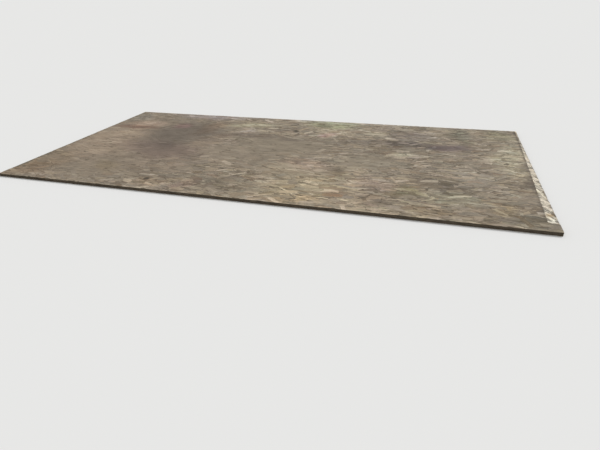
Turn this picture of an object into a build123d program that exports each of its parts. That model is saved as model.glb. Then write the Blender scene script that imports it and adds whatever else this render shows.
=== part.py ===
from build123d import *
import os
from math import floor, sqrt

# One sheet of oriented strand board, lying flat. Millimetres.
# Origin at the middle of the underside, +X along the sheet, +Y across it, +Z up through it.

# The sheet as sawn
board_length = 2440.0
board_width = 1220.0
board_thickness = 15.0

# Wear from handling
corner_radius = 3.0
arris_wear = 0.6

# One pressed strand: the sheet wears and tears in layers of this thickness
strand_thickness = 0.75

# The torn strip along the +X end, where the face strands have come away.
# Its inner side is a straight slanting line, wider towards the -Y side.
tear_width_back = 4.0
tear_width_front = 38.0
tear_from_back_edge = 60.0
tear_from_front_edge = 66.0
tear_strands = 2

# The broken strand ends that leave the outer side of the torn strip ragged
bite_pitch = 58.0
bite_width = 40.0
bite_reach = 11.0
bite_least_share = 0.35
bite_end_slant = 0.3
bite_most_strands = 6

# How far the cutting solids stand out of the sheet, so that no cut ends on a face
cut_overrun = 10.0

end_x = board_length / 2
tear_back_y = board_width / 2 - tear_from_back_edge
tear_front_y = tear_from_front_edge - board_width / 2
tear_depth = tear_strands * strand_thickness


def uneven(index, salt):
    """A share from 0 to 1 that jumps about as index goes up: the fraction left over
    when the index is multiplied by the golden ratio and moved on by salt."""
    turns = index * (sqrt(5) - 1) / 2 + salt
    return turns - floor(turns)


def between(share, low, high):
    return low + share * (high - low)


def tear_width(y):
    """The torn strip's width at y, on the straight line between its two ends."""
    share = (tear_back_y - y) / (tear_back_y - tear_front_y)
    return between(share, tear_width_back, tear_width_front)


def prism(points, depth):
    """A cutter with this outline in plan, from depth below the top face upwards."""
    outline = Polyline(*points, close=True)
    base = Plane.XY.offset(board_thickness - depth)
    return extrude(base * make_face(outline), amount=depth + cut_overrun)


def sawn_sheet():
    """The whole sheet, with its four corners and all its arrises a little worn."""
    sheet = Box(
        board_length,
        board_width,
        board_thickness,
        align=(Align.CENTER, Align.CENTER, Align.MIN),
    )
    sheet = fillet(sheet.edges().filter_by(Axis.Z), corner_radius)
    arrises = sheet.faces().filter_by(Axis.Z).edges()
    return chamfer(arrises, arris_wear)


def torn_strip():
    """The shallow wedge that the missing face strands leave along the +X end."""
    outside = end_x + cut_overrun
    return prism(
        [
            (end_x - tear_width_back, tear_back_y),
            (outside, tear_back_y),
            (outside, tear_front_y),
            (end_x - tear_width_front, tear_front_y),
        ],
        tear_depth,
    )


def broken_end(index, middle_y):
    """One ragged notch in the +X end. It is as deep as a whole number of strands,
    and stays inside the torn strip, whose width limits its reach."""
    width = bite_width * between(uneven(index, 0.1), bite_least_share, 1)
    room = min(bite_reach, tear_width(middle_y) / 2)
    reach = room * between(uneven(index, 0.5), bite_least_share, 1)
    strands = tear_strands + round(between(uneven(index, 0.8), 1, bite_most_strands))
    slant = width * bite_end_slant
    outside = end_x + cut_overrun
    return prism(
        [
            (outside, middle_y - width / 2),
            (end_x, middle_y - width / 2),
            (end_x - reach, middle_y - width / 2 + slant),
            (end_x - reach * uneven(index, 0.3), middle_y + width / 2 - slant),
            (end_x, middle_y + width / 2),
            (outside, middle_y + width / 2),
        ],
        strands * strand_thickness,
    )


def broken_ends():
    """Notches all along the torn strip, evenly pitched and uneven in size."""
    torn_length = tear_back_y - tear_front_y
    count = max(1, floor(torn_length / bite_pitch))
    pitch = torn_length / count
    return [
        broken_end(index, tear_front_y + (index + 0.5) * pitch)
        for index in range(count)
    ]


def osb_board():
    return sawn_sheet() - [torn_strip(), *broken_ends()]


os.makedirs("parts", exist_ok=True)
board = osb_board()
board.label = "osb_board"
export_step(board, "parts/osb_board.step")
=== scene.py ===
from collections import namedtuple

import bpy
import numpy as np
from mathutils import Matrix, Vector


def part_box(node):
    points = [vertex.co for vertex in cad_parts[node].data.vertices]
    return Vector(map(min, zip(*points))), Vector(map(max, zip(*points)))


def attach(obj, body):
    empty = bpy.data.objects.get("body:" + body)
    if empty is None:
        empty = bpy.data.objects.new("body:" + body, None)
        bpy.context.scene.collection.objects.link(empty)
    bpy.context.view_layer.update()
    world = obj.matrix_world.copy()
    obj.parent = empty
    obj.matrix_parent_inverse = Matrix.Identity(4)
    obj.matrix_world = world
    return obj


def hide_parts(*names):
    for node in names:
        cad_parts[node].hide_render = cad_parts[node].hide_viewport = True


# The looks of one weathered sheet of oriented strand board. Metres, in the frame of the
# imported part: origin at the middle of the underside, +X along the sheet, +Z up.
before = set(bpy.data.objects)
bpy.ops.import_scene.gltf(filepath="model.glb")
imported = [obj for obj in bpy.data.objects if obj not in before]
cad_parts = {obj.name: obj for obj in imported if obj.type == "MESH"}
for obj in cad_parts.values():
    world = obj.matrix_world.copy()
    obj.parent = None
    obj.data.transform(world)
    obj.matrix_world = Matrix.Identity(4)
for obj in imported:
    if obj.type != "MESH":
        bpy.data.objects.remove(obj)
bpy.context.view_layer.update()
BOARD = "osb_board"
MM = 0.001

# The sheet as packed
end_x, side_y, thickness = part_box(BOARD)[1]

# The pressed faces: strands at slightly different heights, rooted in the core
strand_thickness = 0.75 * MM
face_relief = 0.34 * MM
face_sunk = 0.1 * MM
rim_drop = 0.02 * MM
root_depth = 1.0 * MM
core_depth = 0.75 * MM
core_inset = 1.6 * MM
arris_wear = 0.45 * MM

# The torn strip and its broken ends, as in the part
tear_width_back = 4 * MM
tear_width_front = 38 * MM
tear_back_y = side_y - 60 * MM
tear_front_y = 66 * MM - side_y
tear_slant = (tear_width_front - tear_width_back) / (tear_back_y - tear_front_y)
tear_strands = 2
tear_depth = tear_strands * strand_thickness
tear_z = thickness - tear_depth
bite_pitch = 58 * MM
bite_width = 40 * MM
bite_reach = 11 * MM
bite_least_share = 0.35
bite_end_slant = 0.3
bite_most_strands = 6

# The camera, fitted to the sheet's four corners
image_width_px = 600
focal_px = 437.6
sensor_width = 36
camera_place = (0.744, -2.090, 0.757)
camera_heading = -17.09
camera_tilt = -28.24
camera_roll = -1.56

rng = np.random.default_rng(2440)


# Shapes


def uneven(index, salt):
    """A share from 0 to 1 that jumps about with index: the fraction of index times the golden
    ratio, moved on by salt. The part has the same."""
    return (index * (np.sqrt(5) - 1) / 2 + salt) % 1


def between(share, low, high):
    return low + share * (high - low)


def smooth_step(value, start, stop):
    """0 below start, 1 above stop, and 3 f^2 - 2 f^3 of the share f between them."""
    share = np.clip((value - start) / (stop - start), 0, 1)
    return share * share * (3 - 2 * share)


def tear_width(y):
    """The torn strip's width, on the straight line between its two ends."""
    return tear_width_back + (tear_back_y - y) * tear_slant


def is_torn(y):
    return (y > tear_front_y) & (y < tear_back_y)


def face_end(y):
    """Where the face strands end at y: on the torn line, or at the sheet's end beside it."""
    return end_x - np.where(is_torn(y), tear_width(y), 0)


Notch = namedtuple("Notch", "middle across reach far_reach depth")


def part_notches():
    """The notches that the part has along its torn end."""
    torn_length = tear_back_y - tear_front_y
    count = int(torn_length // bite_pitch)
    found = []
    for index in range(count):
        middle = tear_front_y + (index + 0.5) * torn_length / count
        across = bite_width * between(uneven(index, 0.1), bite_least_share, 1)
        room = min(bite_reach, tear_width(middle) / 2)
        reach = room * between(uneven(index, 0.5), bite_least_share, 1)
        far_reach = reach * uneven(index, 0.3)
        layers = tear_strands + round(between(uneven(index, 0.8), 1, bite_most_strands))
        found.append(Notch(middle, across, reach, far_reach, layers * strand_thickness))
    return found


notches = part_notches()


def broken_depth(y, depth=0.0):
    """How far the torn end is eaten away at y and this far below the face. Each notch rises over
    its slanted side, crosses to its other corner and falls again."""
    eaten = np.zeros(np.broadcast(y, depth).shape)
    for notch in notches:
        slant = notch.across * bite_end_slant
        half = notch.across / 2
        corners = notch.middle + np.array([-half, slant - half, half - slant, half])
        edge = np.interp(y, corners, [0, notch.reach, notch.far_reach, 0])
        eaten = np.maximum(eaten, np.where(depth < notch.depth, edge, 0))
    return eaten


# How a plate's faces share its cell of a picture: the corner and size of the outer grid, how far
# the walls reach round it, and the corner and size of the inner grid's flat band above
outer_corner = (0.05, 0.10)
outer_size = (0.90, 0.62)
wall_reach = (0.035, 0.07)
inner_corner = (0.05, 0.86)
inner_size = (0.90, 0.10)


def plate_pattern(along, across):
    """The faces of a closed plate of two grids, the outer one first, and where each face corner
    lies on the plate's own small part of a picture."""
    outer = np.arange(along * across).reshape(along, across)
    inner = outer + along * across
    shares = np.meshgrid(np.linspace(0, 1, along), np.linspace(0, 1, across), indexing="ij")
    share = np.stack(shares, -1)
    outer_uv = (share * outer_size + outer_corner).reshape(-1, 2)
    wall_uv = outer_uv + (np.sign(share - 0.5) * wall_reach).reshape(-1, 2)
    inner_uv = (share * inner_size + inner_corner).reshape(-1, 2)
    quad = [(0, 0), (1, 0), (1, 1), (0, 1)]
    steps = [(i, j) for i in range(along - 1) for j in range(across - 1)]
    faces = [[outer[i + p, j + q] for p, q in quad] for i, j in steps]
    places = [outer_uv[face] for face in faces]
    backs = [[inner[i + p, j + q] for p, q in reversed(quad)] for i, j in steps]
    faces += backs
    places += [inner_uv[np.array(face) - along * across] for face in backs]
    rim = [*outer[:-1, 0], *outer[-1, :-1], *outer[:0:-1, -1], *outer[0, :0:-1]]
    for here, there in zip(rim, rim[1:] + rim[:1]):
        faces.append([here + along * across, there + along * across, there, here])
        places.append(np.array([wall_uv[here], wall_uv[there], outer_uv[there], outer_uv[here]]))
    return np.array(faces), np.array(places)


def picture_cells(count, shape):
    """Lower left corners and size of this many cells on the unit square, each shape times as
    wide as it is high when the square is full."""
    columns = int(np.ceil(np.sqrt(count / shape)))
    rows = int(np.ceil(count / columns))
    order = np.arange(count)
    size = np.array([1 / columns, 1 / rows])
    return np.stack([order % columns, order // columns], 1) * size, size


def joined_plates(name, outer, inner, facts, cell_shape=4.5):
    """One piece from many closed plates. outer and inner are arrays of points, plates by along
    by across by 3, and each fact is a vector for every point of the outer grid."""
    count, along, across = outer.shape[:3]
    faces, places = plate_pattern(along, across)
    each = 2 * along * across
    points = np.concatenate([outer.reshape(count, -1, 3), inner.reshape(count, -1, 3)], 1)
    corners = (faces.ravel()[None] + each * np.arange(count)[:, None]).ravel()
    origins, size = picture_cells(count, cell_shape)
    uv = origins[:, None] + places.reshape(1, -1, 2) * size
    mesh = bpy.data.meshes.new(name)
    mesh.vertices.add(count * each)
    mesh.vertices.foreach_set("co", points.ravel())
    mesh.loops.add(len(corners))
    mesh.loops.foreach_set("vertex_index", corners.astype(np.int32))
    mesh.polygons.add(len(corners) // 4)
    mesh.polygons.foreach_set("loop_start", np.arange(0, len(corners), 4, dtype=np.int32))
    mesh.polygons.foreach_set("use_smooth", np.zeros(len(corners) // 4, dtype=bool))
    mesh.update(calc_edges=True)
    mesh.uv_layers.new(name="OFBake").data.foreach_set("uv", uv.ravel())
    for fact, values in facts.items():
        both = np.concatenate([values.reshape(count, -1, 3)] * 2, 1)
        mesh.attributes.new(fact, "FLOAT_VECTOR", "POINT").data.foreach_set("vector", both.ravel())
    if mesh.validate():
        raise ValueError(name + " has a faulty mesh")
    piece = bpy.data.objects.new(name, mesh)
    bpy.context.scene.collection.objects.link(piece)
    return piece


def dress(piece, material):
    """Gives a piece its finish and has it ride with the board, in the board's place."""
    piece.data.materials.append(material)
    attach(piece, "root")
    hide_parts(BOARD)


def facts_at(s, t, seed, gaps, film, colour):
    """What the finishes read at each point: grain is how far along and across its strand it lies
    and the strand's seed, reach is how far the strand's end and side are and how thick the film
    is, and wood is the colour."""
    grain = [np.broadcast_to(part, s.shape) for part in (s, t, seed)]
    reach = [np.broadcast_to(part, s.shape) for part in (*gaps, film)]
    return {
        "grain": np.stack(grain, -1),
        "reach": np.stack(reach, -1),
        "wood": np.broadcast_to(colour, s.shape + (3,)),
    }


# How uneven a strand is: how far its ends taper, how strongly it is bowed, its longest splinters
# for each half length, how far its ends are cut aslant, and the range of its seed
most_taper = 0.5
bow_spread = 0.02
most_splinter = 0.14
end_slant_spread = 0.7
most_seed = 100


def strand_shapes(strands, grid):
    """Each strand's outline as distances s along it and t across it on a grid of a and b from
    -1 to 1: s is half the length times a, with a slant and a splinter at the ends that grow by
    the cube of a, and t is half the width times b, tapered by the square of a and bowed by it."""
    count = len(strands["x"])
    a = np.linspace(-1, 1, grid[0])[None, :, None]
    b = np.linspace(-1, 1, grid[1])[None, None, :]
    half_length = strands["length"][:, None, None] / 2
    half_width = strands["width"][:, None, None] / 2
    taper = rng.uniform(0, most_taper, (2, count, 1, 1)) * rng.uniform(0, 1, (2, count, 1, 1))
    narrow = 1 - np.where(a < 0, taper[0], taper[1]) * a**2
    bow = half_length * rng.normal(0, bow_spread, (count, 1, 1)) * (a**2 - 0.4)
    t = half_width * b * narrow + bow
    splinter = rng.uniform(0, most_splinter, (count, 2, grid[1])) * half_length
    slant = rng.normal(0, end_slant_spread, (count, 2, 1)) * half_width * b
    change = slant - np.array([-1, 1])[None, :, None] * splinter
    s = half_length * a + np.where(a < 0, change[:, :1], change[:, 1:]) * np.abs(a) ** 3
    return s, t, half_length, half_width * narrow


def columns_of(strands):
    """Each strand's middle, its limits across the sheet, and the cosine and sine of its turn, in
    columns that go with grids of points."""
    turn = strands["turn"]
    facts = (strands["x"], strands["y"], *strands["limits"], np.cos(turn), np.sin(turn))
    return [fact[:, None, None] for fact in facts]


# The sine of the turn past which a strand is sawn at the sheet's side and not at its end, how
# short a half may be sawn, how small a strand may be drawn before it is left out, and the least
# way that is drawn back
steep_sine = 0.5
least_sawn = 0.1
least_drawn = 0.25
least_way = 0.001 * MM


def held(share, way, room):
    """The share of a way that fits in this room, where it is less than the share so far."""
    fitting = np.where(way > room, room / np.maximum(way, least_way), 1)
    return np.minimum(share, fitting).clip(0, 1)


def sawn_short(strands, s, t, x_end, wear):
    """The strands' s where those that cross the sheet's edge are shortened: each lengthwise row
    of points ends at the edge, so that the strand is cut along it. Strands turned by more than
    30 degrees are cut here at the sheet's sides, and the others at its ends."""
    x0, y0, low, high, cos, sin = columns_of(strands)
    steep = np.abs(sin) > steep_sine
    half = s.shape[1] // 2
    s = s.copy()
    for tip, rows in ((0, slice(None, half)), (-1, slice(-half, None))):
        tip_s, tip_t = s[:, [tip]], t[:, [tip]]
        way_x, way_y = tip_s * cos, tip_s * sin
        x_side, y_side = x0 - tip_t * sin, y0 + tip_t * cos
        room_x = np.where(way_x > 0, x_end(y_side + way_y) - x_side, x_side + end_x) - wear
        room_y = np.where(way_y > 0, high - y_side, y_side - low) - wear
        share = np.where(steep, room_y, room_x) / np.abs(np.where(steep, way_y, way_x))
        s[:, rows] *= share.clip(least_sawn, 1)
    return s


def drawn_inside(strands, s, t, x_end, wear):
    """The strands sawn short and held inside the sheet: their s and t, the x and y of their
    points, and which of them stay large enough. x is x0 + s cos - t sin and y is y0 + s sin
    + t cos. Points that would lie beyond the strand's limits across the sheet, or past the
    sheet's ends, are drawn back towards the strand's middle, s and t in the same share."""
    s = sawn_short(strands, s, t, x_end, wear)
    x0, y0, low, high, cos, sin = columns_of(strands)
    out_x, out_y = s * cos - t * sin, s * sin + t * cos
    share = held(np.ones_like(s), out_y, high - wear - y0)
    share = held(share, -out_y, y0 - wear - low)
    share = held(share, out_x, x_end(y0 + out_y * share) - wear - x0)
    share = held(share, -out_x, x0 + end_x - wear)
    whole = share.mean((1, 2)) > least_drawn
    return s * share, t * share, x0 + out_x * share, y0 + out_y * share, whole


# Colours and stains


def wood(level, red, blue):
    """A wood's colour from how pale it is and its red and blue for each part of green."""
    return np.stack([level * red, level, level * blue], -1)


# Kinds of strand: share of the whole, how pale its darkest and palest are, and their red and blue
# for each part of green (linear)
Kind = namedtuple("Kind", "share low high red blue")
kinds = [
    Kind(0.14, 0.265, 0.380, 1.185, 0.760),
    Kind(0.36, 0.205, 0.285, 1.225, 0.720),
    Kind(0.28, 0.172, 0.250, 1.190, 0.760),
    Kind(0.17, 0.128, 0.195, 1.255, 0.705),
    Kind(0.05, 0.130, 0.205, 1.330, 0.680),
]
board_colour = wood(0.218, 1.215, 0.74)

# How much strands of one kind differ in red and blue, and how much of a stain they soak up
red_spread = 0.016
blue_spread = 0.02
least_soak = 0.6
most_soak = 1.4

# A stain is whole in its heart, this share of its size, and fades to its rim. A film has a most
# that it hides, and hides less than in step with its thickness
Stain = namedtuple("Stain", "x y half_length half_width turn light red blue film", defaults=(0,))
stain_heart = 0.3
most_film = 0.96
film_power = 1.25

# What years of damp, dust and handling have done to the top face, with painted light over its
# front middle and painted shade over its far half and beside the torn strip: how much lighter,
# redder and bluer each patch is, and how thick the film over its strands
face_stains = {
    # its darkening is painted shade over the far half, with some dirt; its film is real
    "film and painted shade over the far half": Stain(-0.87, 0.03, 0.80, 0.85, 0, -0.12, 0.015, 0.00, 0.70),
    "calm front of the far half": Stain(-0.83, -0.39, 0.38, 0.28, 0, 0.00, 0.00, 0.00, 0.74),
    "damp stain": Stain(-0.69, 0.18, 0.37, 0.30, -75, -0.33, -0.005, 0.04, 0.97),
    "reddish foot of the stain": Stain(-0.65, -0.12, 0.34, 0.18, -10, -0.25, 0.065, 0.05, 0.95),
    "warm edge of the stain": Stain(-0.45, 0.08, 0.12, 0.24, 0, 0.02, 0.035, -0.01, 0.50),
    "tan far end": Stain(-1.06, -0.01, 0.30, 0.50, 0, 0.16, 0.04, -0.02, 0.40),
    "bright tan": Stain(-1.05, 0.10, 0.14, 0.10, 0, 0.26, 0.00, 0.00),
    "brown far corner": Stain(-1.15, -0.50, 0.15, 0.13, 0, -0.24, 0.09, -0.09, 0.40),
    "brown front of the far end": Stain(-1.13, -0.34, 0.22, 0.16, -20, -0.12, 0.04, -0.06, 0.50),
    "pale far edge": Stain(-1.03, -0.56, 0.14, 0.06, 0, 0.16, 0.03, 0.00),
    "ochre tongue": Stain(-0.77, -0.40, 0.16, 0.07, -35, -0.04, 0.02, -0.08, 0.45),
    "pink flakes": Stain(-1.01, 0.33, 0.17, 0.10, 0, 0.22, 0.06, 0.02),
    "grey far back corner": Stain(-1.13, 0.48, 0.10, 0.12, 0, 0.00, -0.05, 0.07),
    "rust under the flakes": Stain(-1.05, 0.25, 0.24, 0.05, 0, -0.42, 0.18, -0.03),
    "purple back": Stain(-0.75, 0.33, 0.09, 0.08, 0, -0.08, 0.20, 0.12, 0.40),
    "brown back": Stain(-0.56, 0.32, 0.10, 0.20, 0, -0.10, 0.08, -0.06, 0.10),
    "pale pink spot": Stain(-0.30, 0.30, 0.08, 0.055, 0, 0.60, -0.03, 0.08),
    "yellow back": Stain(-0.33, 0.44, 0.26, 0.08, 5, 0.40, -0.06, -0.06),
    "pale flakes": Stain(-0.32, 0.08, 0.09, 0.07, 0, 0.12, 0.00, 0.03),
    "thin dark band": Stain(-0.18, 0.22, 0.42, 0.055, 0, -0.28, 0.02, 0.02, 0.30),
    "calm middle": Stain(-0.04, 0.08, 0.40, 0.22, 0, -0.06, -0.01, -0.01, 0.90),
    "calm front of it": Stain(-0.24, -0.08, 0.36, 0.18, 0, 0.00, 0.00, 0.00, 0.82),
    "calm by the pink middle": Stain(0.46, -0.07, 0.26, 0.14, 0, 0.07, -0.02, 0.00, 0.62),
    "calm in front of it": Stain(0.04, -0.24, 0.46, 0.11, 0, 0.00, 0.00, 0.00, 0.56),
    # painted light: a broad brightening of the front middle of the face
    "painted light on the front middle": Stain(0.41, -0.44, 0.80, 0.36, 0, 0.18, 0.005, -0.015),
    "calm left": Stain(-0.54, -0.30, 0.30, 0.18, 0, 0.00, 0.02, 0.00, 0.55),
    "green back": Stain(0.16, 0.52, 0.26, 0.12, 0, 0.26, -0.12, -0.10),
    "pink patch": Stain(0.18, 0.315, 0.050, 0.07, 0, 0.18, 0.16, 0.11),
    "pale behind the band": Stain(0.24, 0.40, 0.20, 0.15, 0, 0.34, -0.02, 0.00),
    "pale curl": Stain(0.46, 0.38, 0.15, 0.07, -50, 0.42, -0.04, 0.00),
    "pale curve": Stain(0.76, 0.45, 0.04, 0.10, 0, 0.28, -0.03, 0.07),
    "dark band": Stain(0.63, 0.24, 0.36, 0.070, 0, -0.46, 0.02, 0.05),
    "slate end of the band": Stain(0.85, 0.220, 0.14, 0.08, 0, -0.30, 0.05, 0.17, 0.60),
    "purple grey back": Stain(0.66, 0.38, 0.15, 0.15, 0, -0.08, -0.01, 0.08, 0.20),
    "pale strands behind it": Stain(0.55, 0.53, 0.18, 0.06, 0, 0.24, -0.01, 0.05),
    "green grey back": Stain(0.91, 0.45, 0.09, 0.18, 0, -0.22, -0.06, -0.02),
    "yellow back corner": Stain(1.12, 0.50, 0.12, 0.14, 0, 0.02, -0.05, -0.08),
    "yellow torn end": Stain(1.125, 0.14, 0.38, 0.100, 90, 0.58, -0.06, -0.03),
    "pale yellow spot": Stain(0.63, 0.07, 0.070, 0.065, 20, 0.36, -0.05, -0.01),
    "pink middle": Stain(0.21, -0.17, 0.17, 0.11, -15, 0.16, 0.045, 0.02),
    "pale olive": Stain(0.11, -0.25, 0.16, 0.12, 0, 0.18, 0.00, -0.03),
    "dark spot": Stain(0.37, -0.23, 0.055, 0.085, 0, -0.28, 0.02, -0.05),
    "dark torn end": Stain(0.82, -0.29, 0.19, 0.11, -22, -0.38, 0.01, 0.00),
    "pale swirl": Stain(0.95, -0.16, 0.13, 0.12, 30, 0.28, -0.03, 0.04),
    "grey green front": Stain(0.86, -0.41, 0.20, 0.09, 0, 0.12, -0.07, -0.02),
    "pink brown flakes": Stain(0.55, -0.34, 0.15, 0.12, 0, -0.04, 0.05, 0.05),
    "yellow handled zone": Stain(0.28, -0.43, 0.28, 0.21, 0, 0.17, 0.00, -0.07, 0.12),
    "orange flakes": Stain(0.24, -0.56, 0.12, 0.05, 0, -0.14, 0.06, -0.08),
    "red brown flakes": Stain(0.40, -0.48, 0.07, 0.06, 0, -0.16, 0.09, 0.00),
    "olive spot": Stain(0.69, -0.38, 0.09, 0.10, 0, -0.24, -0.03, -0.10),
    "purple front": Stain(0.55, -0.50, 0.13, 0.08, 0, -0.30, 0.04, -0.01),
    "red front": Stain(0.77, -0.55, 0.11, 0.06, 0, -0.30, 0.07, -0.11),
    "red spot by the torn end": Stain(1.05, -0.48, 0.08, 0.08, 0, -0.02, 0.05, -0.12),
    "near corner": Stain(1.15, -0.56, 0.13, 0.08, 0, -0.22, -0.03, -0.03),
    # painted shade and dirt along the step down to the torn strip
    "dark line by the tear": Stain(1.20, 0.40, 0.24, 0.025, 90, -0.16, 0.00, 0.00),
    "pale spot by the tear": Stain(1.11, -0.08, 0.07, 0.05, 0, 0.30, -0.02, 0.00),
    "dark spot by the tear": Stain(1.18, -0.19, 0.04, 0.06, 0, -0.40, 0.02, 0.00),
    "pale front edge": Stain(0.27, -0.59, 1.10, 0.07, 0, 0.18, 0.00, 0.00),
    "pale back of the far half": Stain(-0.66, 0.56, 0.38, 0.09, 0, 0.30, -0.03, 0.20),
    "pale back edge": Stain(0.27, 0.60, 1.10, 0.07, 0, 0.18, -0.03, 0.04),
    "dark olive front": Stain(-0.11, -0.49, 0.18, 0.14, 0, -0.25, 0.00, -0.01, 0.20),
    "red brown streak": Stain(-0.26, -0.52, 0.11, 0.06, 70, -0.22, 0.09, 0.00),
    "orange streak": Stain(-0.44, -0.54, 0.13, 0.07, 0, 0.04, 0.07, -0.05),
}
torn_stains = {
    "dull back end": Stain(1.210, 0.55, 0.20, 0.50, 0, -0.30, 0.02, 0.00),
    "brown heart": Stain(1.205, -0.478, 0.030, 0.018, 0, -0.55, 0.22, -0.26),
    "bright end": Stain(1.200, -0.528, 0.035, 0.026, 0, 0.24, -0.05, 0.05),
    "bright flakes": Stain(1.195, -0.440, 0.030, 0.022, 0, 0.22, -0.03, 0.03),
    "green back corner": Stain(1.214, 0.540, 0.012, 0.020, 0, -0.40, -0.10, -0.05),
}


def wander(x, y):
    """A place pushed about by slow sines, by up to 44 mm along the sheet and 24 mm across it,
    which makes the outlines of stains uneven."""
    shift_x = 30 * MM * np.sin(9 * y + 1.3) + 14 * MM * np.sin(23 * y + 11 * x)
    shift_y = 16 * MM * np.sin(8 * x + 0.4) + 8 * MM * np.sin(31 * x + 2.0)
    return x + shift_x, y + shift_y


def faded(stain, here_x, here_y):
    """1 in the heart of a stain and 0 outside its ellipse."""
    middle_x, middle_y = wander(stain.x, stain.y)
    turn = np.radians(stain.turn)
    apart_x, apart_y = here_x - middle_x, here_y - middle_y
    along = (apart_x * np.cos(turn) + apart_y * np.sin(turn)) / stain.half_length
    across = (apart_y * np.cos(turn) - apart_x * np.sin(turn)) / stain.half_width
    return 1 - smooth_step(np.hypot(along, across), stain_heart, 1)


def weathered(colour, x, y, stains, soak):
    """A strand's colour at x and y under the stains, and how thick the film is. A film draws a
    strand's own colour, and how much it soaks up, towards the board's. Each stain multiplies
    the three colours."""
    here_x, here_y = wander(x, y)
    shares = [(stain, faded(stain, here_x, here_y)) for stain in stains.values()]
    film = np.zeros_like(x)
    for stain, share in shares:
        film = np.maximum(film, share * stain.film)
    film = film.clip(0, most_film)
    soak = between(film, soak, 1)
    tint = np.ones(x.shape + (3,))
    for stain, share in shares:
        change = np.array([stain.red, 0, stain.blue])
        share = soak * share
        tint *= (1 + share * stain.light)[..., None] * (1 + share[..., None] * change)
    return tint * between(film[..., None] ** film_power, colour, board_colour), film


# The pressed faces. Their strands are laid on uneven grids that overhang the sheet, each block of
# cells has one strand at each height step, and middles that fall outside are brought back in
Face = namedtuple("Face", "name up x_end limits stains rows zones slivers")
top_rows = (58, 112)
underside_rows = (44, 88)
height_steps = (7, 9)
height_jitter = 0.3
overhang_x = 12 * MM
overhang_y = 4 * MM
middle_inset = 3 * MM

# A face strand in mm: the mean and spread of its length, the shape and scale of its width, and
# the limits of both. Most lie nearly along the sheet, and a few are turned far from it
strand_grid = (5, 3)
strand_length = (72, 19)
length_limits = (30, 125)
strand_width = (6.0, 3.1)
width_limits = (6, 30)
turn_spreads = [0.2, 0.45, 0.8]
turn_shares = [0.60, 0.36, 0.04]
most_turn = 1.1
strand_evenness = 2.2

# A sliver: the ranges of its length and width in mm and of its height, its turn, and its kinds
sliver_grid = (4, 2)
sliver_length = (18, 75)
sliver_width = (1.5, 7)
sliver_height = (0.72, 1)
sliver_turn_spread = 0.34
sliver_most_turn = 1.2
sliver_shares = [0.44, 0.16, 0.12, 0.24, 0.04]
sliver_evenness = 1.5

# How strands lie in the face: the least share of the arris wear at their ends, their slope in mm,
# and how much light the lowest keep
least_wear = 0.05
slope_spread = 0.03
most_slope = 0.08
low_strand_light = 0.90


def whole_end(y):
    return np.full_like(y, end_x)


def whole_width(x, y):
    return np.full_like(x, -side_y), np.full_like(x, side_y)


def width_beside_tear(x, y):
    """The stretch across the sheet that a strand with its middle at x and y keeps to: all of it,
    or what is left of it in front of the torn strip and behind it."""
    low, high = whole_width(x, y)
    high[(y < tear_front_y) & (x > end_x - tear_width_front)] = tear_front_y
    low[(y > tear_back_y) & (x > end_x - tear_width_back)] = tear_back_y
    return low, high


# up is 1 for the top and -1 for the underside, and each zone along the sheet is a piece
top = Face("top", 1, face_end, width_beside_tear, face_stains, top_rows, zones=8, slivers=4200)
underside = Face("underside", -1, whole_end, whole_width, {}, underside_rows, zones=4, slivers=1200)


def kept_in(values, limit):
    """Values beyond a limit on either side of zero are mirrored back at it."""
    return np.where(np.abs(values) > limit, np.sign(values) * (2 * limit - np.abs(values)), values)


def coloured(strands, shares, evenness):
    """Gives each strand a kind, and a colour of its own within the kind."""
    count = len(strands["x"])
    picked = rng.choice(len(kinds), count, p=shares)
    low, high, red, blue = np.array([kind[1:] for kind in kinds])[picked].T
    level = between(rng.beta(evenness, evenness, count), low, high)
    red = red * rng.normal(1, red_spread, count)
    blue = blue * rng.normal(1, blue_spread, count)
    strands["colour"] = wood(level, red, blue)
    strands["seed"] = rng.uniform(0, most_seed, count)
    strands["soak"] = rng.uniform(least_soak, most_soak, count)
    return strands


def laid_strands(rows):
    """Middles on a grid with each moved about by up to a cell, so that the cover is even. The
    height step of a strand follows its place in a block of cells, so that strands which overlap
    never lie at the same height. On a wider grid than the top's they are larger."""
    i, j = np.meshgrid(np.arange(rows[0]), np.arange(rows[1]), indexing="ij")
    i, j = i.ravel(), j.ravel()
    steps = rng.permutation(height_steps[0] * height_steps[1])
    step = steps[(i % height_steps[0]) * height_steps[1] + j % height_steps[1]]
    count = len(i)
    spread = rng.choice(turn_spreads, count, p=turn_shares)
    size = np.sqrt(top_rows[0] * top_rows[1] / count)
    strands = {
        "x": ((i + rng.uniform(0, 1, count)) / rows[0] * 2 - 1) * (end_x + overhang_x),
        "y": ((j + rng.uniform(0, 1, count)) / rows[1] * 2 - 1) * (side_y + overhang_y),
        "length": rng.normal(*strand_length, count).clip(*length_limits) * MM * size,
        "width": rng.gamma(*strand_width, count).clip(*width_limits) * MM * size,
        "turn": (spread * rng.normal(0, 1, count)).clip(-most_turn, most_turn),
    }
    step = step + rng.uniform(-height_jitter, height_jitter, count)
    strands["height"] = (step / len(steps)).clip(0, 1)
    return coloured(strands, [kind.share for kind in kinds], strand_evenness)


def strewn_slivers(count):
    """Thin splinters anywhere on the face, pressed into it among the highest strands."""
    strands = {
        "x": rng.uniform(-end_x, end_x, count),
        "y": rng.uniform(-side_y, side_y, count),
        "length": rng.uniform(*sliver_length, count) * MM,
        "width": rng.uniform(*sliver_width, count) * MM,
        "turn": rng.normal(0, sliver_turn_spread, count).clip(-sliver_most_turn, sliver_most_turn),
        "height": rng.uniform(*sliver_height, count),
    }
    return coloured(strands, sliver_shares, sliver_evenness)


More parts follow.
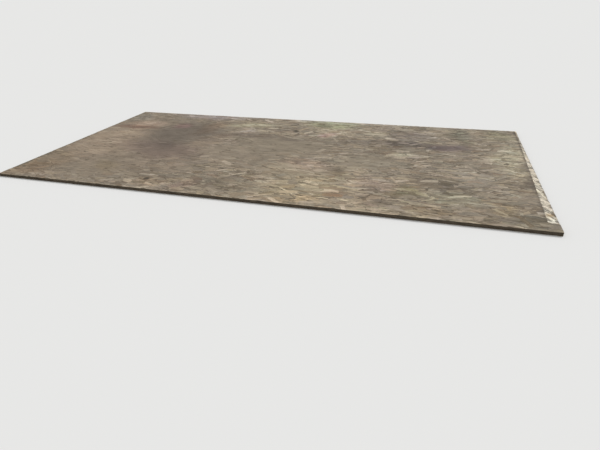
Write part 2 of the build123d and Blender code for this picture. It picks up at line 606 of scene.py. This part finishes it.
def pressed_flat(face, strands, grid):
    """Strands pressed into one face, as points of their outer and inner grids, the facts at them
    and which strands stay large enough. A point lies under the face's plane by its strand's
    step, a little more at the strand's rim, with a slight slope along it."""
    count = len(strands["x"])
    strands["y"] = kept_in(strands["y"], side_y - middle_inset)
    strands["x"] = kept_in(strands["x"], face.x_end(strands["y"]) - middle_inset)
    strands["limits"] = face.limits(strands["x"], strands["y"])
    s, t, half_length, half_width = strand_shapes(strands, grid)
    wear = rng.uniform(least_wear, 1, (count, 1, 1)) * arris_wear
    s, t, x, y, whole = drawn_inside(strands, s, t, face.x_end, wear)
    rim = np.ones(grid)
    rim[1:-1, 1:-1] = 0
    slope = rng.normal(0, slope_spread, (count, 1, 1)).clip(-most_slope, most_slope) * MM
    height, soak, seed = (strands[fact][:, None, None] for fact in ("height", "soak", "seed"))
    drop = face_sunk + face_relief * (1 - height) + rim * rim_drop
    drop = drop + slope * np.linspace(-1, 1, grid[0])[None, :, None]
    plane = thickness if face.up > 0 else 0.0
    outer = np.stack([x, y, plane - face.up * drop], -1)
    inner = np.stack([x, y, np.full_like(x, plane - face.up * root_depth)], -1)
    colour, film = weathered(strands["colour"][:, None, None], x, y, face.stains, soak)
    colour = colour * between(height, low_strand_light, 1)[..., None]
    facts = facts_at(s, t, seed, (half_length - np.abs(s), half_width - np.abs(t)), film, colour)
    if face.up < 0:
        outer, inner = outer[:, :, ::-1], inner[:, :, ::-1]
        facts = {name: values[:, :, ::-1] for name, values in facts.items()}
    return outer, inner, facts, whole


def sheet_face(face):
    """The strands of one face, as one piece for each stretch of the sheet, and its slivers."""
    strands = laid_strands(face.rows)
    laid = pressed_flat(face, strands, strand_grid)
    zone = ((strands["x"] / end_x + 1) / 2 * face.zones).astype(int).clip(0, face.zones - 1)
    picks = [
        (f"{face.name}_strands_{number + 1}", laid, laid[-1] & (zone == number))
        for number in range(face.zones)
    ]
    laid = pressed_flat(face, strewn_slivers(face.slivers), sliver_grid)
    picks.append((f"{face.name}_slivers", laid, laid[-1]))
    for name, (outer, inner, facts, _), chosen in picks:
        facts = {fact: values[chosen] for fact, values in facts.items()}
        dress(joined_plates(name, outer[chosen], inner[chosen], facts), finishes[face.name])


# The core, the lower layer that the torn strip lays bare, and a gap at which no seam shows
core_colour = wood(0.14, 1.2, 0.72)
core_grid = (12, 240)
core_ripple = 0.06 * MM
core_behind_tear = 2.5 * MM
bared_colour = wood(0.24, 1.16, 0.77)
bared_grid = (5, 300)
bared_length = 60 * MM
bared_low = core_depth + 1 * MM
bared_top = tear_z - 0.8 * MM
no_seam = 1.0


def block(name, material, colour, along, heights, grid):
    """A closed block across the sheet, from one x to another that changes with y and between two
    heights, with a faint ripple on its top: one sine along the sheet times one across it."""
    x_low, x_high = along
    z_low, z_high = heights
    share = np.linspace(0, 1, grid[0])[:, None]
    y = np.linspace(core_inset - side_y, side_y - core_inset, grid[1])[None]
    x = x_low + share * (x_high(y) - x_low)
    y = np.broadcast_to(y, x.shape)
    ripple = core_ripple * np.sin(170 * x) * np.sin(310 * y)
    outer = np.stack([x, y, z_high + ripple], -1)[None]
    inner = np.stack([x, y, np.full_like(x, z_low)], -1)[None]
    facts = facts_at(x[None], y[None], 1.0, (no_seam, no_seam), 0.0, colour)
    dress(joined_plates(name, outer, inner, facts, cell_shape=1), material)


def pressed_core():
    """The mass that the face strands are rooted in, whose end follows the torn line, and the
    lower layer that the torn strip lays bare."""
    def torn_line(y):
        return face_end(y) - core_behind_tear

    def notched_end(y):
        return end_x - core_inset - broken_depth(y)

    along = (core_inset - end_x, torn_line)
    heights = (core_depth, thickness - core_depth)
    block("pressed_core", finishes["core"], core_colour, along, heights, core_grid)
    along = (end_x - bared_length, notched_end)
    heights = (bared_low, bared_top)
    block("bared_layer", finishes["torn"], bared_colour, along, heights, bared_grid)


# The sawn sides. Strands lie along the sheet in its face layers and across it in its core, so
# their runs differ in length. way is the unit vector out of the sheet, and offset is how far the
# side is from the middle
Side = namedtuple("Side", "name way half_span offset face_run core_run broken")
side_span = end_x - 0.6 * MM
end_span = side_y - 0.6 * MM
long_run = (55 * MM, 120 * MM)
short_run = (10 * MM, 32 * MM)
torn_core_run = (25 * MM, 42 * MM)
sides = [
    Side("front_side_layers", (0, -1, 0), side_span, side_y, long_run, short_run, False),
    Side("back_side_layers", (0, 1, 0), side_span, side_y, long_run, short_run, False),
    Side("torn_end_layers", (1, 0, 0), end_span, end_x, short_run, torn_core_run, True),
    Side("far_end_layers", (-1, 0, 0), end_span, end_x, short_run, long_run, False),
]
edge_layers = 17
face_layers = 4
edge_low = 0.9 * MM
edge_pitch = (thickness - 2 * edge_low) / edge_layers
edge_root = 3.5 * MM
run_gap = 0.3 * MM
least_run = 2.5 * MM
run_half_height = 0.46
run_heights = (0.75, 1.08)
straight_steps = 4
broken_steps = 10

# Where the part is torn, a layer is left out when its lower part is past the bared layer's top,
# and what is cut off there slopes a little. Runs in notches are rooted deeper
lower_part = 0.6
cut_slope = 0.1 * MM
notch_root = edge_root + bite_reach + 0.5 * MM

# How pale the sides and the torn end are and how evenly, the sides' darkness being partly painted
# shade, their red and blue, how deep runs lie as a gamma's shape and scale in mm and its limits,
# and how much darker the deepest are, by painted shade and dirt
shaded_edge_levels = (0.045, 0.155)
torn_edge_levels = (0.16, 0.34)
edge_evenness = (2, 2.4)
edge_red = 1.24
edge_blue = 0.72
recess = (2.0, 0.12)
least_recess = 0.05 * MM
most_recess = 0.9 * MM
recess_shade_and_dirt = 0.35


def edge_runs(side):
    """The runs of one side, layer by layer: the middle, half length and layer of each. They are
    cut off at the side's ends, and none lies above a torn strip."""
    middles, halves, layers = [], [], []
    for layer in range(edge_layers):
        outermost = min(layer, edge_layers - 1 - layer) < face_layers
        low, high = side.face_run if outermost else side.core_run
        runs = rng.uniform(low, high, int(2 * side.half_span / low) + 2)
        cuts = np.concatenate([[0], np.cumsum(runs)]) - side.half_span - rng.uniform(0, low)
        cuts = cuts.clip(-side.half_span, side.half_span)
        middle = (cuts[1:] + cuts[:-1]) / 2
        keep = np.diff(cuts) > least_run
        if side.broken and edge_low + edge_pitch * (layer + lower_part) > bared_top:
            keep &= ~is_torn(middle)
        middles.append(middle[keep])
        halves.append((np.diff(cuts) / 2)[keep])
        layers.append(np.full(keep.sum(), layer))
    return [np.concatenate(part)[:, None, None] for part in (middles, halves, layers)]


def edge_side(side):
    """One sawn side as thin layers seen on end. Each layer is a row of plates, butted with small
    gaps, whose heights wander with two sines along the side, less so near the faces. A broken
    side follows the part's notches."""
    middle, half, layer = edge_runs(side)
    one_each = (len(middle), 1, 1)
    steps = broken_steps if side.broken else straight_steps
    a = np.linspace(-1, 1, steps)[None, :, None]
    b = np.linspace(-1, 1, 2)[None, None, :]
    s = (half - run_gap) * a + 0.0 * b
    place = middle + s
    sway = 0.28 * np.sin(place * 21 + layer * 0.9) + 0.22 * np.sin(place * 57 + layer * 2.1)
    squeeze = np.sin(np.pi * (layer + 0.5) / edge_layers)
    t = edge_pitch * (run_half_height * b * rng.uniform(*run_heights, one_each) + sway * squeeze)
    z = edge_low + edge_pitch * (layer + 0.5) + t
    sunk = (rng.gamma(*recess, one_each) * MM).clip(least_recess, most_recess)
    # painted shade and dirt: runs set deeper into the side are made darker
    dirt_and_shade = 1 - recess_shade_and_dirt * sunk / most_recess
    root = edge_root
    if side.broken:
        z = np.where(is_torn(place), np.minimum(z, bared_top + cut_slope * b), z)
        sunk = sunk + broken_depth(place, thickness - z)
        root = notch_root
    out = np.array(side.way, float)
    up = np.array([0.0, 0.0, 1.0])
    flat = place[..., None] * np.cross(up, out) + z[..., None] * up
    outer = flat + (side.offset - sunk)[..., None] * out
    inner = flat + (side.offset - root) * out
    seed = rng.uniform(0, most_seed, one_each)
    # the sawn sides' colour is dark partly from painted shade
    levels = torn_edge_levels if side.broken else shaded_edge_levels
    level = between(rng.beta(*edge_evenness, one_each), *levels) * dirt_and_shade
    colour = wood(level, edge_red, edge_blue)
    facts = facts_at(s, t, seed, (half - np.abs(s), run_gap), 0.0, colour)
    dress(joined_plates(side.name, outer, inner, facts, cell_shape=8), finishes["edge"])


# The strands under the torn strip. For beds, flakes, splinters and the floors of notches: their
# widths in mm, heights for each strand's thickness, and how pale they are. Then their lengths and
# middles as shares of the way across the strip, and how far they reach on under the face
torn_grid = (5, 5)
torn_widths = [(14, 24), (9, 18), (1.5, 4), (5, 12)]
torn_heights = [(0.0, 0.45), (0.5, 1.0), (1.0, 1.4), (0.0, 1.0)]
torn_levels = [(0.17, 0.34), (0.42, 0.80), (0.36, 0.80), (0.20, 0.50)]

bed_length = 0.95
flake_lengths = (0.4, 0.95)
splinter_lengths = (0.3, 0.6)
bed_middle = 0.5
flake_middles = (0.2, 0.8)
splinter_middles = (0.1, 0.8)
floor_spread = 0.45
under_strip_edge = 6 * MM
under_strip_ends = 1.5 * MM
behind_notch = 5 * MM

# How far they are turned from the sheet's length and how much that varies
lay_turn = -0.85
lay_spread = 0.2
splinter_spread = 0.4
floor_most_turn = 0.7
torn_most_turn = 1.3

# Their crown and ripple, how far they stay under the face, how deep they are rooted, how uneven
# their ends are in mm, and their red and blue
torn_crown = 0.3 * MM
torn_ripple = 0.08 * MM
torn_clear = 0.9 * MM
torn_root = 1.6 * MM
torn_wear = (0.1, 0.6)
torn_evenness = 1.6
torn_red = 1.125
torn_blue = 0.80
torn_colour_spread = 0.02


def bared_strands(kind, notch):
    """The strand ends that the tear lays bare, as a set of strands and how high each lies in its
    layer. The layer below the face lies across it, so they point aslant out of the sheet: wide
    beds from under the face strands to the edge, narrower flakes over them, thin splinters on
    top, and others on the floor of each notch."""
    count = len(kind)
    bed, splinter, floor = (kind == number for number in (0, 2, 3))
    share = (rng.permutation(count) + rng.uniform(0, 1, count)) / count
    share[bed] = (np.arange(bed.sum()) + rng.uniform(0, 1, bed.sum())) / bed.sum()
    y = between(share, tear_front_y, tear_back_y)
    middle, across, reach, _, deep = np.array(notches)[notch].T
    y[floor] = middle + across * rng.uniform(-floor_spread, floor_spread, len(notch))
    room = tear_width(y)
    turn = lay_turn + rng.normal(0, lay_spread, count)
    turn[splinter] += rng.normal(0, splinter_spread, splinter.sum())
    turn[floor] *= rng.uniform(0, floor_most_turn, len(notch))
    crossing = (room + under_strip_edge) / np.cos(turn)
    shares = rng.uniform(*flake_lengths, count), rng.uniform(*splinter_lengths, count)
    length = crossing * np.choose(kind, [bed_length, *shares, 1.0])
    length[floor] = reach + behind_notch
    width = np.choose(kind, [rng.uniform(*widths, count) for widths in torn_widths]) * MM
    shares = rng.uniform(*flake_middles, count), rng.uniform(*splinter_middles, count)
    x = end_x - room * np.choose(kind, [bed_middle, *shares, 0.0])
    x[floor] = end_x - length[floor] / 2
    height = np.choose(kind, [rng.uniform(*heights, count) for heights in torn_heights])
    layer_z = np.full(count, tear_z)
    layer_z[floor] = thickness - deep
    strands = {"x": x, "y": y, "length": length, "width": width}
    strands["turn"] = turn.clip(-torn_most_turn, torn_most_turn)
    ends = (tear_front_y - under_strip_ends, tear_back_y + under_strip_ends)
    strands["limits"] = [np.full(count, end) for end in ends]
    return strands, layer_z, height


def torn_ends(beds=120, flakes=92, splinters=90, each_notch=9):
    """The strand ends laid bare by the tear. Each is crowned, lower at its sides by the square of
    b, and those outside the notches end at the broken line."""
    notch = np.repeat(np.arange(len(notches)), each_notch)
    kind = np.repeat(np.arange(4), [beds, flakes, splinters, len(notch)])
    count = len(kind)
    strands, layer_z, height = bared_strands(kind, notch)
    s, t, half_length, half_width = strand_shapes(strands, torn_grid)
    on_floor = (kind == 3)[:, None, None]

    def broken_line(y):
        return end_x - np.where(on_floor, 0, broken_depth(y, tear_depth))

    wear = rng.uniform(*torn_wear, (count, 1, 1)) * MM
    s, t, x, y, whole = drawn_inside(strands, s, t, broken_line, wear)
    crown = torn_crown * np.linspace(-1, 1, torn_grid[1]) ** 2
    z = (layer_z - strand_thickness * (1 - height))[:, None, None] - crown
    z = z + torn_ripple * np.sin(90 * x + 140 * y)
    z = np.minimum(z, thickness - torn_clear)
    outer = np.stack([x, y, z], -1)
    inner = np.stack([x, y, (layer_z - torn_root)[:, None, None] + 0 * x], -1)
    tones = [rng.beta(torn_evenness, torn_evenness, count) for _ in torn_levels]
    level = np.choose(kind, [between(tone, *levels) for tone, levels in zip(tones, torn_levels)])
    red, blue = (rng.normal(mean, torn_colour_spread, count) for mean in (torn_red, torn_blue))
    colour = wood(level, red, blue)[:, None, None]
    colour, _ = weathered(colour, x, y, torn_stains, np.ones_like(x))
    seed = rng.uniform(0, most_seed, (count, 1, 1))
    facts = facts_at(s, t, seed, (half_length - np.abs(s), half_width - np.abs(t)), 0.0, colour)
    facts = {fact: values[whole] for fact, values in facts.items()}
    piece = joined_plates("torn_strand_ends", outer[whole], inner[whole], facts, cell_shape=2)
    dress(piece, finishes["torn"])


# Materials


class Wire:
    """An output socket of a material. Sums on it add Math nodes."""

    def __init__(self, finish, socket):
        self.finish = finish
        self.socket = socket

    def maths(self, operation, *terms):
        return self.finish.node("Math", {"operation": operation}, dict(enumerate(terms)))

    def __add__(self, other):
        return self.maths("ADD", self, other)

    def __radd__(self, other):
        return self.maths("ADD", other, self)

    def __sub__(self, other):
        return self.maths("SUBTRACT", self, other)

    def __rsub__(self, other):
        return self.maths("SUBTRACT", other, self)

    def __mul__(self, other):
        return self.maths("MULTIPLY", self, other)

    def __rmul__(self, other):
        return self.maths("MULTIPLY", other, self)

    def __abs__(self):
        return self.maths("ABSOLUTE", self)

    def least(self, other):
        return self.maths("MINIMUM", self, other)

    def step(self, start, stop):
        """0 at start, 1 at stop, smooth between them."""
        sockets = {"Value": self, "From Min": start, "From Max": stop}
        return self.finish.node("MapRange", {"interpolation_type": "SMOOTHSTEP"}, sockets)


class Finish:
    """A material with one Principled shader, and what its nodes are made with."""

    def __init__(self, name, roughness, specular=0.25):
        self.material = bpy.data.materials.new(name)
        self.material.use_nodes = True
        self.tree = self.material.node_tree
        self.shader = self.tree.nodes["Principled BSDF"]
        self.shader.inputs["Roughness"].default_value = roughness
        self.shader.inputs["Specular IOR Level"].default_value = specular

    def node(self, kind, settings, sockets, output=0):
        """Adds a node of this type with its settings, then the values or links of its sockets."""
        made = self.tree.nodes.new("ShaderNode" + kind)
        for name, value in settings.items():
            setattr(made, name, value)
        for name, value in sockets.items():
            if isinstance(value, Wire):
                self.tree.links.new(value.socket, made.inputs[name])
            else:
                made.inputs[name].default_value = value
        return Wire(self, made.outputs[output])

    def link(self, name, wire):
        self.tree.links.new(wire.socket, self.shader.inputs[name])

    def place(self):
        return self.node("TexCoord", {}, {}, "Object")

    def fact(self, name):
        return self.node("Attribute", {"attribute_name": name}, {}, "Vector")

    def parts(self, vector):
        """The x, y and z of a vector."""
        first = self.node("SeparateXYZ", {}, {0: vector})
        return [Wire(self, socket) for socket in first.socket.node.outputs]

    def vector(self, x, y, z):
        return self.node("CombineXYZ", {}, {0: x, 1: y, 2: z})

    def noise(self, vector, scale, detail, roughness):
        sockets = {"Vector": vector, "Scale": scale, "Detail": detail, "Roughness": roughness}
        return self.node("TexNoise", {}, sockets)

    def cloud(self, kind, place):
        """Noise of this kind that crosses all strands."""
        return self.noise(place, kind.rate, kind.detail, kind.roughness)

    def streak(self, kind, s, t, seed):
        """Noise of this kind in a strand's own space, drawn out along the strand."""
        vector = self.vector(s * kind.along, t * kind.across, seed * kind.salt)
        return self.noise(vector, 1.0, kind.detail, kind.roughness)

    def shaded_wood(self, shade):
        """The strand's own colour, times this share of light, as the base colour."""
        settings = {"data_type": "RGBA", "blend_type": "MULTIPLY"}
        sockets = {0: 1.0, 6: self.fact("wood"), 7: self.vector(shade, shade, shade)}
        self.link("Base Color", self.node("Mix", settings, sockets, 2))

    def bump(self, height, distance, strength=1.0):
        sockets = {"Height": height, "Distance": distance, "Strength": strength}
        self.link("Normal", self.node("Bump", {}, sockets))


# Noise in a strand's own space: how often it changes in a metre along the strand and across it,
# what the strand's seed is multiplied by, so that no two kinds on a strand look alike, and the
# noise's detail and roughness
Streak = namedtuple("Streak", "along across salt detail roughness", defaults=(2.0, 0.5))
swaying = Streak(9, 25, 1, 1.0)
bands = Streak(5, 150, 3)
rings = Streak(3, 520, 5, 1.0)
fibres = Streak(45, 1500, 7, 3.0, 0.65)
flecks = Streak(85, 180, 13, 2.0, 0.6)
splits = Streak(12, 380, 11, 1.0)
pores = Streak(300, 2600, 7, 3.0, 0.6)

# Noise that crosses all strands: how often it changes in a metre, its detail and its roughness
Cloud = namedtuple("Cloud", "rate detail roughness", defaults=(2.0, 0.5))
pools = Cloud(55)
dustiness = Cloud(38, 4.0, 0.65)
blotchiness = Cloud(12, 2.0, 0.55)
specks = Cloud(260)
grits = Cloud(900, 3.0)
patches = Cloud(60, 3.0)
dirtiness = Cloud(14, 4.0, 0.6)

# The levels of noise at which pools of dirt and painted shade, splits and specks start and are
# full, and how far bands and rings sway across a strand
pool_levels = (0.48, 0.66)
split_levels = (0.69, 0.72)
speck_levels = (0.68, 0.76)
sway_reach = 0.012

# How much bands, rings, fibres and flecks change the wood's light, how far fibres, rings, splits
# and seams stand out, and the height and strength of that relief. Then how far fibres and dust
# change the roughness, and how wide a seam is away from pools and how much wider in them
figure_weights = (0.9, 1.0, 1.3, 2.0)
relief_weights = (0.5, 0.35, -0.5, -0.25)
relief_height = 0.22 * MM
relief_strength = 0.7
fibre_roughness = 0.20
dust_roughness = 0.10
seam_dry = 0.5
seam_in_pool = 2.5

# How much darker splits and specks are than the wood, how far dust changes its light, how much a
# film hides of the dust and of the relief, and how much lighter wear and a painted highlight make
# the sheet beside its long sides: fully up to wear_and_highlight_full from them, and not at all
# past wear_and_highlight_gone
split_darkness = 0.35
speck_darkness = 0.2
dust_change = 0.3
dust_hidden = 0.7
relief_hidden = 0.85
wear_and_highlight_gain = 0.32
wear_and_highlight_full = 2 * MM
wear_and_highlight_gone = 13 * MM


def weighed(weights, wires):
    """The sum of some values, each times its weight."""
    first, *others = [weight * wire for weight, wire in zip(weights, wires)]
    return sum(others, first)


def strand_finish(name, roughness, figure, blotches, seam_width, seam_depth, marks=None):
    """Weathered wood seen flat: growth bands and fibre lines along the strand, a few splits,
    dirt and painted shade in the seam round it, dust, specks and blotches that cross all
    strands, and wood worn pale with a painted highlight beside the sheet's long sides. A film of
    damp and dust makes all but the last two fainter, and marks adds what one face alone has."""
    finish = Finish(name, roughness)
    s, t, seed = finish.parts(finish.fact("grain"))
    end_gap, side_gap, film = finish.parts(finish.fact("reach"))
    clear = 1.0 - film
    swayed = t + finish.streak(swaying, s, t, seed) * sway_reach
    band = finish.streak(bands, s, swayed, seed)
    ring = finish.streak(rings, s, swayed, seed)
    fibre = finish.streak(fibres, s, t, seed)
    fleck = finish.streak(flecks, s, t, seed)
    split = finish.streak(splits, s, t, seed).step(*split_levels)
    lines = weighed(figure_weights, [line - 0.5 for line in (band, ring, fibre, fleck)])
    place = finish.place()
    pool = finish.cloud(pools, place).step(*pool_levels)
    seam_reach = seam_width * (seam_dry + seam_in_pool * pool)
    seam = 1.0 - end_gap.least(side_gap).step(0.0, seam_reach)
    dust = finish.cloud(dustiness, place) - 0.5
    blotch = finish.cloud(blotchiness, place) - 0.5
    speck = finish.cloud(specks, place).step(*speck_levels)
    _, y, _ = finish.parts(place)
    # wear and a painted highlight: lighter near the sheet's long sides
    wear_and_highlight = 1.0 - (side_y - abs(y)).step(wear_and_highlight_full, wear_and_highlight_gone)
    # the seam term is dirt and painted shade round each strand
    shade = (1.0 + figure * clear * lines) * (1.0 - clear * seam * seam_depth)
    shade = shade * (1.0 - split_darkness * clear * split) * (1.0 - speck_darkness * clear * speck)
    shade = shade * (1.0 + dust_change * (1.0 - dust_hidden * film) * dust)
    shade = shade * (1.0 + wear_and_highlight_gain * wear_and_highlight) * (1.0 + blotches * blotch)
    if marks:
        shade = shade * marks(finish, place)
    finish.shaded_wood(shade)
    finish.link("Roughness", roughness + fibre_roughness * (fibre - 0.5) + dust_roughness * dust)
    relief = weighed(relief_weights, (fibre, ring, split, seam))
    finish.bump(relief * (1.0 - relief_hidden * film), relief_height, relief_strength)
    return finish.material


# Dark spots of the top face: full within the heart, a share of the radius, and gone at the rim
Knot = namedtuple("Knot", "middle radius")
knots = [
    Knot((-0.472, -0.505, thickness), 20 * MM),
    Knot((-0.019, 0.363, thickness), 23 * MM),
    Knot((1.202, 0.560, thickness), 10 * MM),
]
knot_heart = 0.4
knot_darkness = 0.72

# The line of dirt and painted shade beside the torn strip, where the face steps down to it: its
# width, how dark it is, how much darker it grows from the sheet's middle back to this y, and where
# it starts at the strip's front end. Then the width, fade and paleness of the fresh wood at the
# sheet's end
tear_shade_and_dirt_width = 17 * MM
tear_shade_and_dirt_front = 0.28
tear_shade_and_dirt_more_behind = 0.20
tear_shade_and_dirt_more_from_y = 0.25
tear_shade_and_dirt_start = (tear_front_y - 8 * MM, tear_front_y + 4 * MM)
rub_width = 8 * MM
rub_fade = 1.5 * MM
rub_light = 0.9


def top_marks(finish, place):
    """The share of light left by what only the top face has: a line of dirt and painted shade
    beside its torn strip, which thins with distance from the strip's straight edge, fresh wood
    where the strip runs out towards the back corner, and a few dark round spots."""
    x, y, _ = finish.parts(place)
    tear_gap = y * tear_slant + (end_x - tear_width_back - tear_back_y * tear_slant) - x
    gap = tear_gap.least(end_x - rub_width - x)
    beside = y.step(*tear_shade_and_dirt_start)
    darkness = tear_shade_and_dirt_front + tear_shade_and_dirt_more_behind * y.step(0.0, tear_shade_and_dirt_more_from_y)
    # painted shade and dirt along the step down to the torn strip
    dirt_and_shade = beside * darkness * (1.0 - gap.step(0.0, tear_shade_and_dirt_width))
    rub = beside * (1.0 - gap.step(-rub_fade, 0.0))
    left = (1.0 - dirt_and_shade * (1.0 - rub)) * (1.0 + rub_light * rub)
    for spot in knots:
        sockets = {0: place, 1: spot.middle}
        apart = finish.node("VectorMath", {"operation": "DISTANCE"}, sockets, "Value")
        clear = apart.step(spot.radius * knot_heart, spot.radius)
        left = left * (1.0 - knot_darkness * (1.0 - clear))
    return left


# The core and the sawn sides: how light they are where each noise is lowest and highest, how much
# patches add, and how high and strong their relief is
grit_light = (0.35, 1.15)
patch_light = 0.5
grit_height = 0.5 * MM
dirt_light = (0.6, 1.4)
pore_light = (0.55, 1.45)
pore_height = 0.4 * MM
pore_strength = 0.8


def core_finish():
    """The dark fines between strands: specks of several sizes."""
    finish = Finish("core_fines", roughness=0.95, specular=0.1)
    place = finish.place()
    grit = finish.cloud(grits, place)
    finish.shaded_wood(between(grit, *grit_light) + patch_light * finish.cloud(patches, place))
    finish.bump(grit, grit_height)
    return finish.material


def edge_finish():
    """Sawn layers seen on end: dark, partly from painted shade, dirty and open."""
    finish = Finish("sawn_edge", roughness=0.93, specular=0.12)
    s, t, seed = finish.parts(finish.fact("grain"))
    pore = finish.streak(pores, s, t, seed)
    dirt_and_shade = finish.cloud(dirtiness, finish.place())
    finish.shaded_wood(between(dirt_and_shade, *dirt_light) * between(pore, *pore_light))
    finish.bump(pore, pore_height, pore_strength)
    return finish.material


# How strong the figure and the blotches are, and how wide and how dark the seams
face_look = {
    "roughness": 0.82,
    "figure": 0.48,
    "blotches": 0.6,
    "seam_width": 1.1 * MM,
    "seam_depth": 0.38,
}
torn_look = {
    "roughness": 0.88,
    "figure": 0.60,
    "blotches": 0.0,
    "seam_width": 1.6 * MM,
    "seam_depth": 0.42,
}
finishes = {
    "top": strand_finish("top_strand", **face_look, marks=top_marks),
    "underside": strand_finish("underside_strand", **face_look),
    "torn": strand_finish("torn_strand", **torn_look),
    "core": core_finish(),
    "edge": edge_finish(),
}

sheet_face(top)
sheet_face(underside)
pressed_core()
for side in sides:
    edge_side(side)
torn_ends()

# Studio, with the sun's place and size in degrees

floor_reach = 200.0
floor_colour = (0.80, 0.80, 0.79, 1.0)
sky_share = 0.55
sun_heading = 42
sun_height = 48
sun_size = 25
view_reach = 1000


def direction(heading, height):
    """The unit vector this many degrees from +Y towards +X, and this many above the floor."""
    heading, height = np.radians([heading, height])
    level = np.array([np.sin(heading), np.cos(heading), 0])
    return level * np.cos(height) + np.array([0, 0, np.sin(height)])


def frame_of(back):
    """Three rows: a level right, an up and back, square to one another."""
    right = np.cross((0, 0, 1), back)
    right = right / np.linalg.norm(right)
    return np.array([right, np.cross(back, right), back])


def turned(name, data, rows):
    """An object for a lamp or a camera whose own right, up and back are these rows."""
    made = bpy.data.objects.new(name, data)
    made.rotation_mode = "QUATERNION"
    made.rotation_quaternion = Matrix(rows.tolist()).transposed().to_quaternion()
    bpy.context.scene.collection.objects.link(made)
    return made


def studio_floor():
    """A plain pale sheet of floor out to the horizon."""
    mesh = bpy.data.meshes.new("studio_floor")
    corners = [(-floor_reach, -floor_reach, 0), (floor_reach, -floor_reach, 0)]
    corners += [(floor_reach, floor_reach, 0), (-floor_reach, floor_reach, 0)]
    mesh.from_pydata(corners, [], [(0, 1, 2, 3)])
    floor = bpy.data.objects.new("studio_floor", mesh)
    bpy.context.scene.collection.objects.link(floor)
    finish = Finish("studio_floor", roughness=1.0, specular=0.0)
    finish.shader.inputs["Base Color"].default_value = floor_colour
    mesh.materials.append(finish.material)


def studio_light():
    """Part of a white surface's light from an even sky, which looks like the floor to the camera
    and in reflections, and the rest from a large soft sun behind the sheet on its torn side."""
    world = bpy.data.worlds.new("studio_sky")
    bpy.context.scene.world = world
    world.use_nodes = True
    tree = world.node_tree
    sky = tree.nodes["Background"]
    sky.inputs["Color"].default_value = (1, 1, 1, 1)
    sky.inputs["Strength"].default_value = sky_share
    seen = tree.nodes.new("ShaderNodeBackground")
    seen.inputs["Color"].default_value = floor_colour
    path = tree.nodes.new("ShaderNodeLightPath")
    sees_floor = path.outputs["Is Camera Ray"]
    for ray in ("Is Glossy Ray", "Is Transmission Ray"):
        either = tree.nodes.new("ShaderNodeMath")
        either.operation = "MAXIMUM"
        tree.links.new(sees_floor, either.inputs[0])
        tree.links.new(path.outputs[ray], either.inputs[1])
        sees_floor = either.outputs[0]
    choice = tree.nodes.new("ShaderNodeMixShader")
    tree.links.new(sees_floor, choice.inputs[0])
    tree.links.new(sky.outputs[0], choice.inputs[1])
    tree.links.new(seen.outputs[0], choice.inputs[2])
    tree.links.new(choice.outputs[0], tree.nodes["World Output"].inputs["Surface"])
    towards = direction(sun_heading, sun_height)
    lamp = bpy.data.lights.new("soft_sun", "SUN")
    lamp.energy = (1 - sky_share) * np.pi / towards[2]
    lamp.angle = np.radians(sun_size)
    turned("soft_sun", lamp, frame_of(towards))


def camera():
    """A pinhole at the photograph's place, turned by heading, tilt and roll."""
    right, up, back = frame_of(-direction(camera_heading, camera_tilt))
    roll = np.radians(camera_roll)
    turned_right = right * np.cos(roll) + up * np.sin(roll)
    turned_up = up * np.cos(roll) - right * np.sin(roll)
    lens = bpy.data.cameras.new("photo_camera")
    lens.sensor_width = sensor_width
    lens.lens = sensor_width * focal_px / image_width_px
    lens.clip_end = view_reach
    seen = turned("photo_camera", lens, np.array([turned_right, turned_up, back]))
    seen.location = camera_place
    bpy.context.scene.camera = seen


studio_floor()
studio_light()
camera()
bpy.context.scene.view_settings.view_transform = "Standard"
